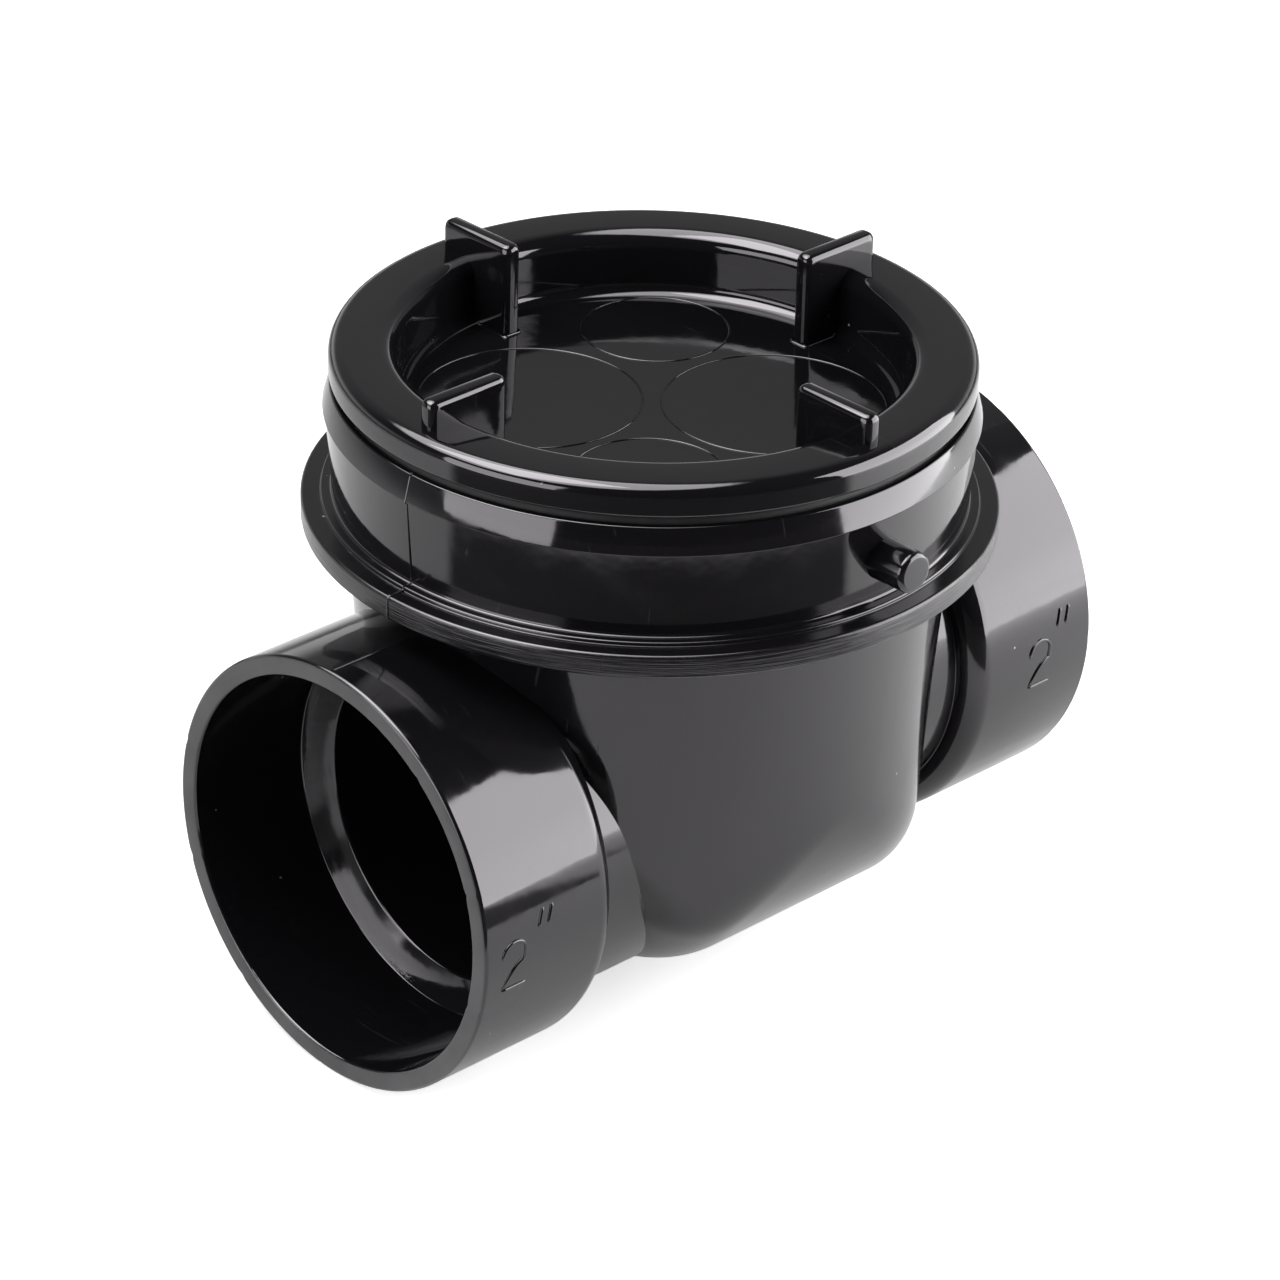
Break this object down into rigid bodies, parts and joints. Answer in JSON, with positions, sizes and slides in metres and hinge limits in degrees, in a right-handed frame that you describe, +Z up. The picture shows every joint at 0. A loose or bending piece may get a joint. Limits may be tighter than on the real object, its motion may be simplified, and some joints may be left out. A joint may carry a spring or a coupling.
{
  "type": "backwater valve",
  "caption": "Black plastic backwater valve for drain pipe: offset sockets, round chamber with a hanging flapper, and a screw-in access cover with turning lugs.",
  "frame": {"origin": "centre of the outlet socket's stop, where the end of the outlet pipe comes to rest", "axes": "+X along the pipes from outlet to inlet, against the flow; +Z up along the collar; +Y to the left of the flow's way back, so the collar's peg points along -Y"},
  "size_m": [0.1246, 0.1076, 0.1034],
  "materials": {
    "moulded": "glossy black ABS",
    "rubber": "matt black",
    "steel": "plain stainless"
  },
  "bodies": {
    "body": {"valve_body": "moulded", "seat_ring": "moulded", "seat_o_ring": "rubber", "hinge_pin": "steel", "pin_washers": "steel"},
    "flapper": {"flapper": "moulded", "flapper_seal": "rubber", "seal_retainer": "moulded", "retainer_screws": "steel"},
    "cover_ring": {"cover_o_ring": "rubber"},
    "cover": {"access_cover": "moulded"}
  },
  "joints": [
    {"name": "flapper_swing", "type": "hinge", "parent": "body", "child": "flapper", "pos_m": [0.06672, 0, 0.04219], "axis": [0, 1, 0], "range_deg": [0, 75]},
    {"name": "cover_lift", "type": "slide", "parent": "body", "child": "cover_ring", "axis": [0, 0, 1], "range_m": [0, 0.012]},
    {"name": "cover_turn", "type": "hinge", "parent": "cover_ring", "child": "cover", "pos_m": [0.0418, 0, 0.06], "axis": [0, 0, 1], "range_deg": [0, 1080]}
  ],
  "couplings": [
    {"joint": "cover_lift", "follows": "cover_turn", "m_per_rad": 0.00063661}
  ]
}
